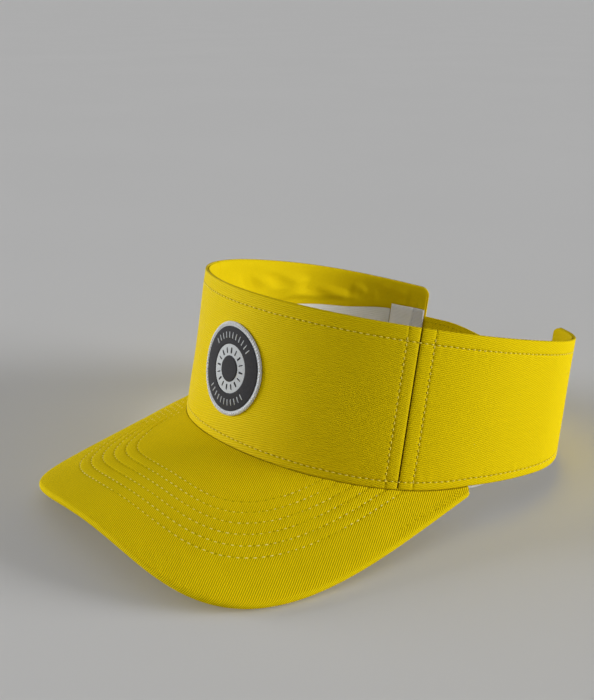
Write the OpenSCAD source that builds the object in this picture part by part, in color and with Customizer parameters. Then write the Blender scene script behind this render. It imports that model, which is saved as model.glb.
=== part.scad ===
// Fabric sun visor, fastened, lying on a table on its brim and the back of its band.
// Everything is shaped in the wearer's own frame: front is -Y, the wearer's left is +X, up is +Z,
// and the middle of the band's front bottom edge is at height 0. lie_down() then leans it back onto
// the table. Places round the band are angles from the front, positive towards +X.

/* [Band] */
// Outside width of the band, side to side
band_w = 184; // [170:1:200]
// From the band's widest line forward to its front
front_reach = 109; // [98:1:120]
// From the band's widest line back to the strap
back_reach = 75; // [66:1:84]
// Height of the band's top at the front
front_top = 69.8; // [55:0.1:80]
// Height of the band's top at the back
back_top = 55.6; // [45:0.1:65]
// How far the band leans in for each millimetre of height
lean_in = 0.031; // [0:0.001:0.08]
// Angle from the front to each seam between the front and a side panel
seam_at = 46; // [38:1:54]
// Angle from the front to the end of the wearer's left panel
left_end = 136.5; // [128:0.5:142]
// Angle from the front to the end of the wearer's right panel
right_end = 150.5; // [142:0.5:156]
// How far the back bottom edge rises between the brim's root and the band's ends
edge_rise = 2.6; // [0:0.1:6]
// How much lower the band's ends are than its edge at the brim's root
edge_drop = 0.8; // [0:0.1:3]
// Radius of the corners at the band's two ends
end_r = 5; // [2:0.5:8]

/* [Brim] */
// Length of the brim along its slope at the middle
brim_l = 70; // [55:1:85]
// Half the brim's width, measured along its arch
brim_half = 93.4; // [84:0.2:100]
// Downward slope of the brim
brim_slope = 19.6; // [12:0.1:28]
// Radius of the brim's arch from side to side
arch_r = 165; // [130:1:220]
// How square the brim's front corners are, 2 for an ellipse
squareness = 3.95; // [2.5:0.05:4.5]
// Angle from the front to where the brim leaves the band
root_at = 65; // [54:1:68]
// Radius of the brim's corners beside the band
root_r = 2; // [1:0.5:7]
// Stitched rows round the brim
rows = 6; // [3:1:7]
// From the brim's edge to its outermost row
row_inset = 17.8; // [10:0.1:22]
// Spacing of the rows
row_pitch = 4.8; // [4:0.1:5.5]

/* [Sweatband and strap] */
// Height of the sweatband over the band's bottom edge
sweat_h = 38; // [28:1:44]
// Height of the binding at each end of the sweatband
binding_h = 43.5; // [40:0.5:48]
// Width of that binding
binding_w = 22; // [16:1:26]
// Width of the back strap
strap_w = 28.5; // [22:0.5:32]
// Height of the strap's top edge where it leaves the right panel
strap_top = 40; // [36:0.5:42]
// How much lower the strap crosses onto the left panel
strap_drop = 6; // [0:0.5:8]
// Angle from the front to the strap's free tip
tip_at = 125.5; // [120:0.5:130]

/* [Fabric] */
// Thickness of a panel with its turned edges
panel_t = 1.2; // [0.8:0.1:1.6]
// Thickness of the stiffener behind a panel
stiff_t = 0.75; // [0.5:0.05:1]
// Thickness of the lining
lining_t = 0.75; // [0.5:0.05:1]
// Thickness of the sweatband's cover, and of each brim cover
cover_t = 0.5; // [0.4:0.05:0.8]
// Thickness of the sweatband's padding
pad_t = 1.4; // [1:0.1:2]
// Thickness of the brim's board
board_t = 2.4; // [1.8:0.1:3]
// Thickness of the strap
strap_t = 1.3; // [1:0.1:1.6]
// Thickness of each half of the hook-and-loop fastening
tape_t = 0.7; // [0.5:0.1:1]
// Width of a thread as it lies
thread_w = 0.6; // [0.4:0.1:0.8]

/* [Badge] */
// Width of the oval badge
badge_w = 38; // [30:1:44]
// Height of the oval badge
badge_h = 42; // [34:1:46]
// Height of the badge's middle over the band's bottom edge
badge_z = 34; // [30:1:38]

/* [Rest] */
// Backward lean of the visor on the table
lean_back = 9.6; // [8:0.05:10.5]

/* [Hidden] */
gap = 0.05;                          // between layers of one body
play = 0.4;                          // between pieces that move apart
step = 4;                            // angle between stations round the band
stiff_in = panel_t + gap;            // depth of the stiffener below the band's outer face
lining_in = stiff_in + stiff_t + gap;
sweat_in = lining_in + lining_t + gap;
sweat_t = 2 * cover_t + pad_t + 2 * gap;
sweat_low = -1.6;                    // the sweatband hangs a little below the panels
board_gap = 0.15;                    // from the brim's board to each cover
brim_t = board_t + 2 * cover_t + 2 * board_gap;
edge_fold = 0.8;                     // how far the covers reach past the board's edge
brim_in = 1.3;                       // how far the brim reaches in below the band
brim_cuts = 4;                       // cuts across the brim from its edge to its root
round_steps = [1, 0.6, 0.3, 0.1, 0]; // shares of end_r where a rounded end gets a station
thread_h = 0.3;                      // how far a thread stands over the fabric
thread_sink = 0.2;                   // how far it sinks in
top_row = 6.3;                       // rows of topstitching, from the edge or seam they follow
bottom_row = 3.7;
seam_row_front = 5.6;
seam_row_side = 6.5;
end_row = 6;
end_turn = turn(left_end, end_r + 1); // rows stop this far from the band's ends
row_end_gap = 1.5;
hinge_gap = 1.3;                     // from the right panel's end to the strap's hinge
tab_at = left_end - 0.5;             // where the strap becomes its free tab
rest_y = 48.4;                       // puts the middle of the visor at Y 0
rest_z = 12.26;                      // puts its lowest points on the table

// ---- Shape of the band ----

function ring_r(a) = let (reach = cos(a) > 0 ? front_reach : back_reach)
    1 / sqrt(pow(sin(a) / (band_w / 2), 2) + pow(cos(a) / reach, 2));
// Height of the brim's top surface above a place in plan
function brim_z(x, y) = let (drop = arch_r - sqrt(arch_r * arch_r - x * x),
        v = -(y + front_reach - sin(brim_slope) * drop) / cos(brim_slope))
    -v * sin(brim_slope) - drop * cos(brim_slope);
// Height of the band's bottom edge at angle a and depth d: it lies on the brim as far as the brim's root
function edge_z(a, d = 0) = let (q = min(abs(a), 360 - abs(a)), c = min(q, root_at),
        r = ring_r(c) - d, t = min(1, max(0, (q - root_at) / (right_end - root_at))))
    brim_z(r * sin(c), -r * cos(c)) + edge_rise * sin(180 * t) - edge_drop * t;
function top_z(a) = (front_top + back_top) / 2 + (front_top - back_top) / 2 * cos(a);
// Point at angle a, depth d below the band's outer face and height z
function at(a, d, z) = let (r = ring_r(a) - lean_in * (z - edge_z(a)) - d) [r * sin(a), -r * cos(a), z];
// Angle that spans a length along the band near angle a
function turn(a, len) = len / ring_r(a) * 180 / PI;
function stations(a, b) = let (n = max(1, ceil(abs(b - a) / step))) [for (i = [0:n]) a + (b - a) * i / n];
// Stations from a to b with extra ones where the end at b is rounded
function end_stations(a, b) = let (dir = sign(b - a), last = b - dir * turn(b, end_r))
    concat([for (s = stations(a, last)) if (s != last) s],
        [for (k = round_steps) b - dir * turn(b, end_r * k)]);
// How far the corner at angle e cuts into the edge at angle a
function corner_cut(a, e) = let (s = abs(a - e) / turn(e, end_r))
    s >= 1 ? 0 : end_r * (1 - sqrt(1 - pow(1 - s, 2)));

// ---- Shape of the brim ----

// Point on the brim: arc length u sideways, v down the slope, w over the top surface
function on_brim(u, v, w) = let (g = u / arch_r * 180 / PI, x = (arch_r + w) * sin(g),
        n = (arch_r + w) * cos(g) - arch_r)
    [x, -front_reach - v * cos(brim_slope) - n * sin(brim_slope),
     -v * sin(brim_slope) + n * cos(brim_slope)];
// The same surface coordinates for a place on the band's bottom edge, depth d below its face
function root_uv(a, d) = let (p = at(a, d, edge_z(a)), x = p[0],
        drop = arch_r - sqrt(arch_r * arch_r - x * x))
    [asin(x / arch_r) * PI / 180 * arch_r,
     -(p[1] + front_reach - sin(brim_slope) * drop) / cos(brim_slope)];
v_root = root_uv(root_at, 0)[1];
// The brim's outline at bearing q, drawn in by e, with rounded corners beside the band
function outline(q, e) = let (w = brim_half - e, l = brim_l - v_root - e,
        rho = pow(pow(abs(sin(q)) / w, squareness) + pow(abs(cos(q)) / l, squareness), -1 / squareness),
        v = rho * cos(q), k = max(0, 1 - v / root_r))
    [rho * sin(q) - sign(q) * root_r * (1 - sqrt(1 - k * k)), v_root + v];
bearings = [for (i = [-24:24]) i * 3.75];

// ---- Building blocks ----

function rising(list) = let (n = len(list)) list[0] < list[n - 1] ? list : [for (i = [n - 1:-1:0]) list[i]];

// Solid skin over equal rings of points, with a flat cap at each end
module skin(rings) {
    n = len(rings[0]);
    m = len(rings);
    polyhedron(points = [for (r = rings) each r], faces = concat(
        [for (i = [0:m - 2], j = [0:n - 1]) let (k = (j + 1) % n)
            [i * n + j, (i + 1) * n + j, (i + 1) * n + k]],
        [for (i = [0:m - 2], j = [0:n - 1]) let (k = (j + 1) % n)
            [i * n + j, (i + 1) * n + k, i * n + k]],
        [[for (j = [0:n - 1]) j]], [[for (j = [n - 1:-1:0]) (m - 1) * n + j]]));
}

// A layer of the band: angles, depths of its outer and inner face, heights of its bottom and top
module layer(angles, outer, inner, low, high)
    skin([for (a = rising(angles)) [at(a, outer, low(a, outer)), at(a, inner, low(a, inner)),
        at(a, inner, high(a)), at(a, outer, high(a))]]);

// A thread along points of the band, as a flat strip that sinks into face depth d
module band_thread(points, d) skin([for (p = points)
    let (lo = p[1] - thread_w / 2, hi = p[1] + thread_w / 2)
    [at(p[0], d - thread_h, lo), at(p[0], d + thread_sink, lo), at(p[0], d + thread_sink, hi),
        at(p[0], d - thread_h, hi)]]);

// A thread up the band at angle a, between two heights
module upright_thread(a, low, high, d) let (h = turn(a, thread_w / 2)) skin([for (z = [low, high])
    [at(a - h, d - thread_h, z), at(a + h, d - thread_h, z), at(a + h, d + thread_sink, z),
        at(a - h, d + thread_sink, z)]]);

// A layer of the brim. Its lip is a list of [inset from the edge, height over the top surface] points,
// from the layer's lower face round to its upper one, and both faces run in to the root.
function inward(q, e, k, w) = let (o = outline(q, e), r = root_uv(q / 90 * root_at, brim_in),
        p = o * (1 - k) + r * k) on_brim(p[0], p[1], w);
module brim_layer(lip) let (first = lip[0], last = lip[len(lip) - 1]) skin([for (q = -bearings) concat(
    [for (s = lip) inward(q, s[0], 0, s[1])],
    [for (k = [1:brim_cuts]) inward(q, last[0], k / brim_cuts, last[1])],
    [for (k = [brim_cuts:-1:1]) inward(q, first[0], k / brim_cuts, first[1])])]);

// An oval of the badge on the front panel, from depth outer to inner, scaled by k
module badge_oval(k, outer, inner) skin([for (y = [for (i = [-10:10]) i / 10])
    let (half = max(0.12, sqrt(1 - y * y)) * badge_w / 2 * k, z = badge_z + y * badge_h / 2 * k,
        h = turn(0, half))
    concat([for (t = [-2:2]) at(t / 2 * h, outer, z)], [for (t = [2:-1:-2]) at(t / 2 * h, inner, z)])]);

// Leans the visor back onto the table
module lie_down() translate([0, rest_y, rest_z]) rotate([-lean_back, 0, 0]) children();
module fabric() color([0.90, 0.79, 0.04]) lie_down() children();
module thread() color([0.96, 0.87, 0.25]) lie_down() children();
module inner_fabric() color([0.80, 0.69, 0.03]) lie_down() children();
module white() color([0.88, 0.88, 0.87]) lie_down() children();

// ---- Band ----

hem = 1;                             // the inner layers stop short of the panels' edges by this
seam_gap = turn(seam_at, gap) / 2;
left_inner = left_end - turn(left_end, hem);
right_inner = right_end - turn(right_end, hem);

// One piece between the seams, from outer to inner depth, in by m from the panel's edges
module front_layer(outer, inner, m) layer(stations(seam_gap - seam_at, seam_at - seam_gap), outer, inner,
    function (a, d) edge_z(a, d) + m, function (a) top_z(a) - m);
// One piece from a seam to an end with rounded corners
module side_layer(from, to, outer, inner, m) layer(end_stations(from, to), outer, inner,
    function (a, d) edge_z(a, d) + m + corner_cut(a, to), function (a) top_z(a) - m - corner_cut(a, to));

module front_panel() fabric() front_layer(0, panel_t, 0);
module left_panel() fabric() side_layer(seam_at + seam_gap, left_end, 0, panel_t, 0);
module right_panel() fabric() side_layer(-seam_at - seam_gap, -right_end, 0, panel_t, 0);

module front_stiffener() color([0.93, 0.92, 0.88]) lie_down()
    front_layer(stiff_in, stiff_in + stiff_t, hem);
module interfacing() color([0.90, 0.89, 0.85]) lie_down() children();
module left_interfacing() interfacing()
    side_layer(seam_at + seam_gap, left_inner, stiff_in, stiff_in + stiff_t, hem);
module right_interfacing() interfacing() layer(stations(-anchor_at, -seam_at - seam_gap), stiff_in,
    stiff_in + stiff_t, function (a, d) edge_z(a, d) + hem, function (a) top_z(a) - hem);

module front_lining() inner_fabric() front_layer(lining_in, lining_in + lining_t, hem);
module left_lining() inner_fabric()
    side_layer(seam_at + seam_gap, left_inner, lining_in, lining_in + lining_t, hem);
module right_lining() inner_fabric()
    side_layer(-seam_at - seam_gap, -right_inner, lining_in, lining_in + lining_t, hem);

// ---- Sweatband ----

left_bind = left_end - turn(left_end, binding_w);
right_bind = right_end - turn(right_end, binding_w);
bind_gap = 0.8;                      // from each end of the band to the binding's end
sweat_angles = stations(seam_gap - right_bind, left_bind - seam_gap);
// Folded over its padding: open at the bottom, where it is sewn to the band
module sweatband_cover() white() skin([for (a = sweat_angles)
    let (low = edge_z(a) + sweat_low, high = edge_z(a) + sweat_h, o = sweat_in, i = sweat_in + sweat_t)
    [at(a, o, low), at(a, o + cover_t, low), at(a, o + cover_t, high - cover_t),
        at(a, i - cover_t, high - cover_t),
        at(a, i - cover_t, low), at(a, i, low), at(a, i, high), at(a, o, high)]]);
module sweatband_padding() color([0.95, 0.94, 0.90]) lie_down()
    layer(sweat_angles, sweat_in + cover_t + gap, sweat_in + sweat_t - cover_t - gap,
        function (a, d) edge_z(a) + sweat_low + gap, function (a) edge_z(a) + sweat_h - cover_t - gap);
module end_binding(from, to) color([0.72, 0.72, 0.72]) lie_down()
    layer(end_stations(from, to), sweat_in, sweat_in + sweat_t,
        function (a, d) edge_z(a) + hem + corner_cut(a, to), function (a) edge_z(a) + binding_h);
module left_end_binding() end_binding(left_bind, left_end - turn(left_end, bind_gap));
module right_end_binding() end_binding(-right_bind, turn(right_end, bind_gap) - right_end);

// ---- Brim ----

board_edge = edge_fold + board_gap;
board_z = -cover_t - board_gap;
mid_edge = -brim_t / 2;              // the covers meet half way down the brim's edge
module brim_board() color([0.95, 0.95, 0.93]) lie_down()
    brim_layer([[board_edge, board_z - board_t], [board_edge, board_z]]);
module brim_top_cover() fabric()
    brim_layer([[edge_fold, -cover_t], [edge_fold, mid_edge + gap], [0, mid_edge + gap], [0, 0]]);
module brim_bottom_cover() fabric()
    brim_layer([[0, -brim_t], [0, mid_edge - gap], [edge_fold, mid_edge - gap],
        [edge_fold, cover_t - brim_t]]);

// ---- Stitching ----

// True where a place on the brim is clear of the band's outer face
function clear_of_band(p) = norm([p[0], p[1]]) > ring_r(atan2(p[0], -p[1])) + row_end_gap;
module brim_stitching() thread() for (i = [0:rows - 1])
    let (e = row_inset + i * row_pitch, h = thread_w / 2)
    skin([for (q = bearings) let (o = outline(q, e - h), n = outline(q, e + h))
        if (clear_of_band(on_brim(n[0], n[1], 0)))
        [on_brim(o[0], o[1], thread_h), on_brim(o[0], o[1], -thread_sink),
            on_brim(n[0], n[1], -thread_sink), on_brim(n[0], n[1], thread_h)]]);

module edge_rows(height) for (run = [[seam_at + 1, left_end - end_turn], [1 - seam_at, seam_at - 1],
    [end_turn - right_end, -seam_at - 1]])
        band_thread([for (a = stations(run[0], run[1])) [a, height(a)]], 0);
module top_edge_stitching() thread() edge_rows(function (a) top_z(a) - top_row);
module bottom_edge_stitching() thread() edge_rows(function (a) edge_z(a) + bottom_row);

module seam_rows(side) for (row = [-seam_row_front, seam_row_side])
    let (a = side * (seam_at + turn(seam_at, row)))
    upright_thread(a, edge_z(a) + bottom_row + 1, top_z(a) - top_row - 1, 0);
module left_seam_stitching() thread() seam_rows(1);
module right_seam_stitching() thread() seam_rows(-1);
left_row_at = left_end - turn(left_end, end_row);
right_row_at = turn(right_end, end_row) - right_end;
row_break = 1.5;                     // the left row stops this far above and below the hook tape
module left_end_stitching() thread() {
    upright_thread(left_row_at, edge_z(left_row_at) + bottom_row + 1,
        tape_lo(left_row_at, 0) - row_break, 0);
    upright_thread(left_row_at, tape_hi(left_row_at) + row_break, top_z(left_row_at) - top_row - 1, 0);
}
module right_end_stitching() thread()
    upright_thread(right_row_at, edge_z(right_row_at) + bottom_row + 1,
        top_z(right_row_at) - top_row - 1, 0);

// ---- Badge ----

badge_lift = 0.15;                   // from the panel's face to the badge's back
badge_t = 0.9;
badge_rim = 1.3;
base_k = 1 - 2.4 / badge_h;
module badge_base() color([0.80, 0.81, 0.83]) lie_down() badge_oval(base_k, -badge_t, -badge_lift);
module badge_border() color([0.86, 0.87, 0.88]) lie_down() difference() {
    badge_oval(1, -badge_rim, -badge_lift);
    badge_oval(base_k + 0.003, -badge_rim - 1, 1);
}
module badge_ring() color([0.20, 0.20, 0.22]) lie_down() difference() {
    badge_oval(0.9, -badge_rim, -badge_t - gap);
    badge_oval(0.52, -badge_rim - 1, 0);
}
module badge_emblem() color([0.20, 0.20, 0.22]) lie_down() badge_oval(0.28, -badge_rim, -badge_t - gap);

// ---- Back strap ----

strap_start = 360 - right_end - turn(right_end, hinge_gap);
anchor_at = right_end - turn(right_end, 8);
outside = -(2 * tape_t + play + gap);        // depth of the strap's inner face over the left panel
strap_out = stiff_in - 0.1;                  // depth of its outer face where it leaves the right panel
function smooth(t) = let (c = min(1, max(0, t))) c * c * (3 - 2 * c);
// The strap crosses from between the layers at the right to the outside at the left
function strap_depth(a) = let (k = smooth((strap_start - a) / (strap_start - tab_at - 8)))
    strap_out * (1 - k) + (outside - strap_t) * k;
function strap_hi(a) = strap_top - strap_drop * smooth((200 - a) / 35);
function strap_row(a, inset, side) = [a, side > 0 ? strap_hi(a) - inset : strap_hi(a) - strap_w + inset];
module strap_piece(angles, cut) skin([for (a = rising(angles))
    let (d = strap_depth(a), hi = strap_hi(a) - cut(a), lo = strap_hi(a) - strap_w + cut(a))
    [at(a, d, lo), at(a, d + strap_t, lo), at(a, d + strap_t, hi), at(a, d, hi)]]);
module strap_rows(from, to) for (side = [-1, 1]) skin([for (a = stations(from, to))
    let (p = strap_row(a, 3, side), d = strap_depth(a), lo = p[1] - thread_w / 2,
        hi = p[1] + thread_w / 2)
    [at(a, d - thread_h, lo), at(a, d + thread_sink, lo), at(a, d + thread_sink, hi),
        at(a, d - thread_h, hi)]]);

module strap_anchor() fabric() layer(stations(-right_end, -anchor_at - seam_gap), stiff_in,
    stiff_in + stiff_t, function (a, d) strap_top - strap_w, function (a) strap_top);
module back_strap() fabric() strap_piece(stations(tab_at + 0.3, strap_start), function (a) 0);
module strap_stitching() thread() strap_rows(tab_at + 1, strap_start - 1);

tab_angles = end_stations(tab_at - 0.3, tip_at);
module strap_tab() fabric() strap_piece(tab_angles, function (a) corner_cut(a, tip_at));
module tab_stitching() thread() strap_rows(tip_at + 4, tab_at - 1);

tape_hi = function (a) strap_hi(a) - 2.5;
tape_lo = function (a, d) strap_hi(a) - strap_w + 2.5;
tape_margin = 1.5;                   // angle from each tape to the ends of the tab and the panel
module hook_tape() color([0.78, 0.68, 0.10]) lie_down()
    layer(stations(tip_at + tape_margin, left_end - tape_margin), -tape_t - gap, -gap, tape_lo, tape_hi);
module loop_tape() color([0.84, 0.74, 0.14]) lie_down()
    layer(stations(tip_at + tape_margin, tab_at - tape_margin), outside + gap, outside + gap + tape_t,
        tape_lo, tape_hi);

front_panel();
left_panel();
right_panel();
front_stiffener();
left_interfacing();
right_interfacing();
front_lining();
left_lining();
right_lining();
sweatband_cover();
sweatband_padding();
left_end_binding();
right_end_binding();
brim_board();
brim_top_cover();
brim_bottom_cover();
brim_stitching();
top_edge_stitching();
bottom_edge_stitching();
left_seam_stitching();
right_seam_stitching();
left_end_stitching();
right_end_stitching();
badge_base();
badge_border();
badge_ring();
badge_emblem();
strap_anchor();
hook_tape();
back_strap();
strap_stitching();
strap_tab();
loop_tape();
tab_stitching();
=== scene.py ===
"""Looks of the fabric sun visor.

Shapes are worked out in millimetres in the wearer's own frame (front -Y, wearer's left +X, up +Z,
angles in degrees round the band from the front), as in the CAD, and place() leans them back onto
the table and turns them into metres.
"""

import bmesh
import bpy
import numpy as np
from mathutils import Matrix, Vector


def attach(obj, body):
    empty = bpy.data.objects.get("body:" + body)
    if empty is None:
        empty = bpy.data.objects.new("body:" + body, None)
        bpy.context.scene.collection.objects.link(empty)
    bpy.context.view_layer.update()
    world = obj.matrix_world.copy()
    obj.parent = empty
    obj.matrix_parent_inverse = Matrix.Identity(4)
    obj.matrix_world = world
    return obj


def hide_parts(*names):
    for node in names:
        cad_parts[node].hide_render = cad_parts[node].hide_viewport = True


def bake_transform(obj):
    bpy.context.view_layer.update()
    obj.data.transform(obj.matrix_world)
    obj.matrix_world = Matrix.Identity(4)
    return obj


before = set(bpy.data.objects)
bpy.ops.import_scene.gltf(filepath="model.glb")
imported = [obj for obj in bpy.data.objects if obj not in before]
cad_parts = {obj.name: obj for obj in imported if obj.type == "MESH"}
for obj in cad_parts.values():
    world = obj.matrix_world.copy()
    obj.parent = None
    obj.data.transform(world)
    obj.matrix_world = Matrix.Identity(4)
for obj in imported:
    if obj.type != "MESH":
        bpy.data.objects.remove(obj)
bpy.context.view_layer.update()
COARSE = 1

# ---- The sizes of the CAD model, in millimetres and degrees ----

# The band, its panels' seams and its two ends
BAND_W = 184
FRONT_REACH = 109
BACK_REACH = 75
FRONT_TOP = 69.8
BACK_TOP = 55.6
LEAN_IN = 0.031
SEAM_AT = 46
LEFT_END = 136.5
RIGHT_END = 150.5
EDGE_RISE = 2.6
EDGE_DROP = 0.8
END_R = 5
# The brim and its rows of stitches
BRIM_L = 70
BRIM_HALF = 93.4
BRIM_SLOPE = np.radians(19.6)
ARCH_R = 165
SQUARENESS = 3.95
ROOT_AT = 65
ROOT_R = 2
ROWS = 6
ROW_INSET = 17.8
ROW_PITCH = 4.8
# The sweatband and the bindings at its ends
SWEAT_H = 38
SWEAT_LOW = -1.6
SWEAT_RISE = 4.2
BINDING_H = 43.5
BINDING_W = 22
# The strap
STRAP_W = 28.5
STRAP_TOP = 40
STRAP_DROP = 6
TIP_AT = 125.5
# Thicknesses of the layers, and their depths below the band's outer face
PANEL_T = 1.2
STIFF_IN = 1.25
STIFF_T = 0.75
LINING_IN = 2.05
LINING_T = 0.75
SWEAT_IN = 2.85
SWEAT_T = 2.5
COVER_T = 0.5
BRIM_T = 3.7
BRIM_IN = 1.3
STRAP_T = 1.3
TAPE_T = 0.7
PLAY = 0.4
GAP = 0.05
HEM = 1
# The badge
BADGE_W = 38
BADGE_H = 42
BADGE_Z = 34
# How the visor leans back and sits on the table
LEAN_BACK = np.radians(9.6)
REST_Y = 48.4
REST_Z = 12.26

# ---- Sewing: distances of the rows from the edges, and the stitches in them ----

TOP_ROW = 6.3
BOTTOM_ROW = 3.7
SEAM_ROW_FRONT = 5.6
SEAM_ROW_SIDE = 6.5
END_ROW = 6
BAND_PITCH = 2.8
BRIM_PITCH = 3.4
THREAD_W = 0.44
BRIM_THREAD_W = 0.54
HOLE_AT = 0.86
STITCH_FROM = 0.1
STITCH_TO = 0.68
STITCH_DEPTH = 0.06

# Height of the cloth that each piece is cut from, with its seam allowances
FRONT_CUT = 75
SIDE_CUT = 70
BUCKRAM_CUT = 70
INTERFACING_CUT = 66
FRONT_LINING_CUT = 73
SIDE_LINING_CUT = 69
BINDING_CUT = 45

# ---- Small tools ----


def smooth(t):
    c = np.clip(t, 0, 1)
    return c * c * (3 - 2 * c)


def bump_at(distance, width):
    """A smooth bump of height 1 round a line."""
    return np.exp(-((distance / width) ** 2))


def fading(distance, width):
    """1 at a line, fading out beyond it, and 0 on its near side."""
    return bump_at(np.maximum(0, distance), width) * (distance > 0)


def hump(t, power=1.0):
    """Half a sine wave between 0 and 1, and 0 outside."""
    return np.sin(np.pi * np.clip(t, 0, 1)) ** power


def waves(x, y, size, seed):
    """Smooth random waves, about -1 to 1, whose length is about size."""
    random = np.random.RandomState(seed)
    total = np.zeros(np.broadcast(x, y).shape)
    for _ in range(7):
        turn = random.uniform(0, 2 * np.pi)
        length = size * random.uniform(0.7, 1.6)
        shift = random.uniform(0, 2 * np.pi)
        total = total + np.sin((x * np.cos(turn) + y * np.sin(turn)) / length * 2 * np.pi + shift)
    return total / 3.2


# ---- Shape of the band and brim, as in the CAD ----


def ring_r(a):
    a = np.radians(a)
    reach = np.where(np.cos(a) > 0, FRONT_REACH, BACK_REACH)
    return 1 / np.sqrt((np.sin(a) / (BAND_W / 2)) ** 2 + (np.cos(a) / reach) ** 2)


def polar(r, a):
    """x and y at a radius and an angle."""
    return r * np.sin(np.radians(a)), -r * np.cos(np.radians(a))


def brim_drop(x):
    """How far the arched brim is below its middle line, square to it."""
    return ARCH_R - np.sqrt(ARCH_R**2 - x * x)


def brim_v(x, y):
    """Length down the slope from the brim's root to the place above or below (x, y)."""
    return -(y + FRONT_REACH - np.sin(BRIM_SLOPE) * brim_drop(x)) / np.cos(BRIM_SLOPE)


def brim_z(x, y):
    return -brim_v(x, y) * np.sin(BRIM_SLOPE) - brim_drop(x) * np.cos(BRIM_SLOPE)


def edge_z(a, d=0):
    """Height of the band's bottom edge."""
    q = np.minimum(np.abs(a), 360 - np.abs(a))
    c = np.minimum(q, ROOT_AT)
    t = np.clip((q - ROOT_AT) / (RIGHT_END - ROOT_AT), 0, 1)
    return brim_z(*polar(ring_r(c) - d, c)) + EDGE_RISE * np.sin(np.pi * t) - EDGE_DROP * t


def top_z(a):
    return (FRONT_TOP + BACK_TOP) / 2 + (FRONT_TOP - BACK_TOP) / 2 * np.cos(np.radians(a))


def turn(a, length):
    """Angle that a length along the band takes up at angle a."""
    return np.degrees(length / ring_r(a))


def short_of(end, length):
    """Angle this length before an end of the band."""
    return end - turn(end, length)


def swell(a, z):
    """Broad soft unevenness of the whole band, none of it at the bottom edge."""
    free = smooth((z - edge_z(a) - 4) / 26)
    return 0.3 * free * waves(arc(a), z, 70, 5)


def at(a, d, z):
    """Point at angle a, depth d below the band's outer face and height z."""
    r = ring_r(a) - LEAN_IN * (z - edge_z(a)) - d + swell(a, z)
    return np.stack([*polar(r, a), z + 0 * r], -1)


def place(p):
    """From the wearer's frame in millimetres to the model's frame in metres."""
    c, s = np.cos(LEAN_BACK), np.sin(LEAN_BACK)
    x, y, z = p[..., 0], p[..., 1], p[..., 2]
    return np.stack([x, c * y + s * z + REST_Y, -s * y + c * z + REST_Z], -1) / 1000


# Length along the band's bottom line, and back to angles
STATIONS = np.linspace(-160, 255, 4151)
RING = np.stack(polar(ring_r(STATIONS), STATIONS), -1)
LENGTHS = np.concatenate([[0], np.cumsum(np.linalg.norm(np.diff(RING, axis=0), axis=1))])
LENGTHS = LENGTHS - np.interp(0, STATIONS, LENGTHS)


def arc(a):
    """Length along the band from the front to angle a."""
    return np.interp(a, STATIONS, LENGTHS)


def angle_of(length):
    return np.interp(length, LENGTHS, STATIONS)


def on_brim(u, v, w):
    """Point u across the brim, v down its slope from the root line and w above its top face."""
    g = u / ARCH_R
    x = (ARCH_R + w) * np.sin(g)
    n = (ARCH_R + w) * np.cos(g) - ARCH_R
    y = -FRONT_REACH - v * np.cos(BRIM_SLOPE) - n * np.sin(BRIM_SLOPE)
    return np.stack([x, y, -v * np.sin(BRIM_SLOPE) + n * np.cos(BRIM_SLOPE)], -1)


def root_uv(a, d):
    """Brim coordinates of a place on the band's bottom edge, depth d below its face."""
    x, y = polar(ring_r(a) - d, a)
    return ARCH_R * np.arcsin(x / ARCH_R), brim_v(x, y)


def off_band(p):
    """How far outside the band's bottom line a point is, seen from above."""
    x, y = p[..., 0], p[..., 1]
    return np.hypot(x, y) - ring_r(np.degrees(np.arctan2(x, -y)))


V_ROOT = float(root_uv(ROOT_AT, 0)[1])
ROW_LINES = [ROW_INSET + i * ROW_PITCH for i in range(ROWS)]
SIDES = (("left", 1, LEFT_END), ("right", -1, RIGHT_END))


def outline(q, e):
    """The brim's outline at bearing q, drawn in by e."""
    s, c = np.sin(np.radians(q)), np.cos(np.radians(q))
    half, long = BRIM_HALF - e, BRIM_L - V_ROOT - e
    rho = ((np.abs(s) / half) ** SQUARENESS + (np.abs(c) / long) ** SQUARENESS) ** (-1 / SQUARENESS)
    v = rho * c
    k = np.maximum(0, 1 - v / ROOT_R)
    return rho * s - np.sign(q) * ROOT_R * (1 - np.sqrt(np.maximum(0, 1 - k * k))), V_ROOT + v


# ---- Meshes ----


def make(name, points, faces, uv, sew=None, edge=None):
    """A smooth shaded mesh from an array of points and quads, its normals outward.

    uv is each point's place in the cloth, in millimetres, sew its place along and across from
    the nearest row of stitches, and edge its distance from the nearest seam, where shade is painted."""
    points = place(points)
    a, b, c, d = (points[faces[:, i]] for i in range(4))
    volume = np.einsum("ij,ij->", np.cross(a, b), c) + np.einsum("ij,ij->", np.cross(a, c), d)
    if volume < 0:
        faces = faces[:, ::-1]
    mesh = bpy.data.meshes.new(name)
    mesh.from_pydata(points.tolist(), [], faces.tolist())
    mesh.polygons.foreach_set("use_smooth", np.ones(len(faces), bool))
    corner = np.empty(len(mesh.loops), np.int32)
    mesh.loops.foreach_get("vertex_index", corner)
    for layer_name, values in (("cloth", uv), ("sew", sew), ("edge", edge)):
        if values is not None:
            layer = mesh.uv_layers.new(name=layer_name)
            layer.data.foreach_set("uv", values[corner].astype(np.float32).ravel())
    mesh.validate()
    obj = bpy.data.objects.new(name, mesh)
    bpy.context.scene.collection.objects.link(obj)
    return obj


def grid_faces(index, flip=False):
    """Quads between neighbours of a 2-D array of point numbers."""
    a, b, c, d = index[:-1, :-1], index[1:, :-1], index[1:, 1:], index[:-1, 1:]
    quads = np.stack([a, b, c, d], -1).reshape(-1, 4)
    return quads[:, ::-1] if flip else quads


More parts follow.
